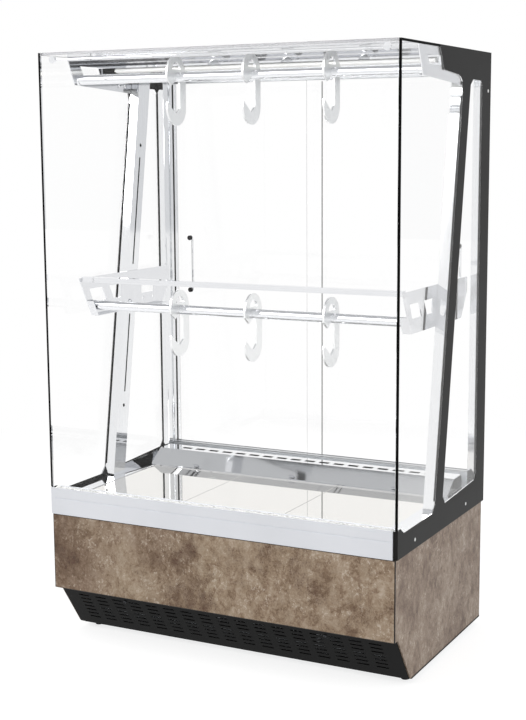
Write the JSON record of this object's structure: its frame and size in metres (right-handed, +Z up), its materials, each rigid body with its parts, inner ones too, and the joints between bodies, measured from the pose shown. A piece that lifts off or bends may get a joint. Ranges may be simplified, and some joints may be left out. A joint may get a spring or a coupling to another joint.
{
  "type": "refrigerated display case",
  "caption": "Glass display case on a refrigerated laminate base, with hanging rails and hooks, loose display plates and sliding rear doors.",
  "frame": {"origin": "on the floor, under the middle of the case", "axes": "+Z up, +X to the right seen from the customer side, -Y towards the customer"},
  "size_m": [1, 0.653, 1.57],
  "materials": {
    "laminate": "stone-pattern laminate, satin",
    "grille_paint": "semi-matt dark grey",
    "rail_paint": "satin pale grey",
    "frame_paint": "satin black",
    "cap_plastic": "white",
    "clear_glass": "clear",
    "black_joint": "bonded joint",
    "polished_steel": "polished",
    "stainless": "brushed",
    "deck_enamel": "gloss cream",
    "anodised": "satin anodised",
    "lamp_cover": "opal",
    "shoe_plastic": "black",
    "galvanised": "galvanised",
    "tub_plastic": "white",
    "fin_aluminium": "fins",
    "compressor_paint": "black",
    "mount_rubber": "matt",
    "fan_plastic": "black",
    "control_plastic": "dark grey",
    "switch_plastic": "black"
  },
  "bodies": {
    "cabinet": {"air_ledge": "stainless", "chassis_pan": "galvanised", "compressor": "compressor_paint", "compressor_mounts": "mount_rubber", "condenser": "fin_aluminium", "control_box": "control_plastic", "deck_surround": "stainless", "door_head": "anodised", "door_jambs": "anodised", "door_sill": "anodised", "drain_tray": "galvanised", "evaporator": "fin_aluminium", "evaporator_fan_plate": "galvanised", "fan_shroud": "galvanised", "front_panel": "laminate", "front_rail": "rail_paint", "glass_front": "clear_glass", "glass_joints": "black_joint", "glass_sides": "clear_glass", "glass_top": "clear_glass", "insulated_well": "tub_plastic", "lamp_strip": "lamp_cover", "levelling_feet": "shoe_plastic", "louvre_grille": "grille_paint", "mid_bar": "polished_steel", "mid_brackets": "polished_steel", "mid_rail": "polished_steel", "rail_sockets": "polished_steel", "rear_panel": "galvanised", "rear_posts": "polished_steel", "riser_clips": "polished_steel", "screw_caps": "cap_plastic", "side_frame_left": "frame_paint", "side_frame_right": "frame_paint", "side_panel_left": "laminate", "side_panel_right": "laminate", "slanted_posts": "polished_steel", "tie_rod": "polished_steel", "top_bar": "polished_steel", "top_beam": "stainless", "top_brackets": "polished_steel", "top_rail": "polished_steel"},
    "door_left_body": {"door_left": "clear_glass", "door_handle_left": "polished_steel", "door_shoes_left": "shoe_plastic"},
    "door_right_body": {"door_right": "clear_glass", "door_handle_right": "polished_steel", "door_shoes_right": "shoe_plastic"},
    "plate_left": {"deck_plate_left": "deck_enamel"},
    "plate_middle": {"deck_plate_middle": "deck_enamel"},
    "plate_right": {"deck_plate_right": "deck_enamel"},
    "mid_hook_1_body": {"mid_hook_1": "polished_steel"},
    "mid_hook_2_body": {"mid_hook_2": "polished_steel"},
    "mid_hook_3_body": {"mid_hook_3": "polished_steel"},
    "top_hook_1_body": {"top_hook_1": "polished_steel"},
    "top_hook_2_body": {"top_hook_2": "polished_steel"},
    "top_hook_3_body": {"top_hook_3": "polished_steel"},
    "condenser_rotor": {"condenser_fan": "fan_plastic"},
    "evaporator_rotor": {"evaporator_fan": "fan_plastic"},
    "lamp_rocker": {"light_switch": "switch_plastic"}
  },
  "joints": [
    {"name": "door_left_slide", "type": "slide", "parent": "cabinet", "child": "door_left_body", "axis": [1, 0, 0], "range_m": [0, 0.44]},
    {"name": "door_right_slide", "type": "slide", "parent": "cabinet", "child": "door_right_body", "axis": [1, 0, 0], "range_m": [-0.44, 0]},
    {"name": "plate_left_lift", "type": "slide", "parent": "cabinet", "child": "plate_left", "axis": [0, 0, 1], "range_m": [0, 0.1]},
    {"name": "plate_middle_lift", "type": "slide", "parent": "cabinet", "child": "plate_middle", "axis": [0, 0, 1], "range_m": [0, 0.1]},
    {"name": "plate_right_lift", "type": "slide", "parent": "cabinet", "child": "plate_right", "axis": [0, 0, 1], "range_m": [0, 0.1]},
    {"name": "mid_hook_1_swing", "type": "hinge", "parent": "cabinet", "child": "mid_hook_1_body", "pos_m": [-0.184, -0.161, 0.905], "axis": [1, 0, 0], "range_deg": [-50, 50]},
    {"name": "mid_hook_2_swing", "type": "hinge", "parent": "cabinet", "child": "mid_hook_2_body", "pos_m": [0.035, -0.161, 0.905], "axis": [1, 0, 0], "range_deg": [-50, 50]},
    {"name": "mid_hook_3_swing", "type": "hinge", "parent": "cabinet", "child": "mid_hook_3_body", "pos_m": [0.255, -0.161, 0.905], "axis": [1, 0, 0], "range_deg": [-50, 50]},
    {"name": "top_hook_1_swing", "type": "hinge", "parent": "cabinet", "child": "top_hook_1_body", "pos_m": [-0.184, -0.161, 1.507], "axis": [1, 0, 0], "range_deg": [-50, 50]},
    {"name": "top_hook_2_swing", "type": "hinge", "parent": "cabinet", "child": "top_hook_2_body", "pos_m": [0.035, -0.161, 1.507], "axis": [1, 0, 0], "range_deg": [-50, 50]},
    {"name": "top_hook_3_swing", "type": "hinge", "parent": "cabinet", "child": "top_hook_3_body", "pos_m": [0.255, -0.161, 1.507], "axis": [1, 0, 0], "range_deg": [-50, 50]},
    {"name": "condenser_fan_spin", "type": "hinge", "parent": "cabinet", "child": "condenser_rotor", "pos_m": [0.06, -0.0885, 0.123], "axis": [0, 1, 0], "continuous": true},
    {"name": "evaporator_fan_spin", "type": "hinge", "parent": "cabinet", "child": "evaporator_rotor", "pos_m": [0, -0.0825, 0.344], "axis": [0, 1, 0], "continuous": true},
    {"name": "lamp_switch_rock", "type": "hinge", "parent": "cabinet", "child": "lamp_rocker", "pos_m": [0.342, 0.307, 0.27], "axis": [1, 0, 0], "range_deg": [-8, 8]}
  ]
}
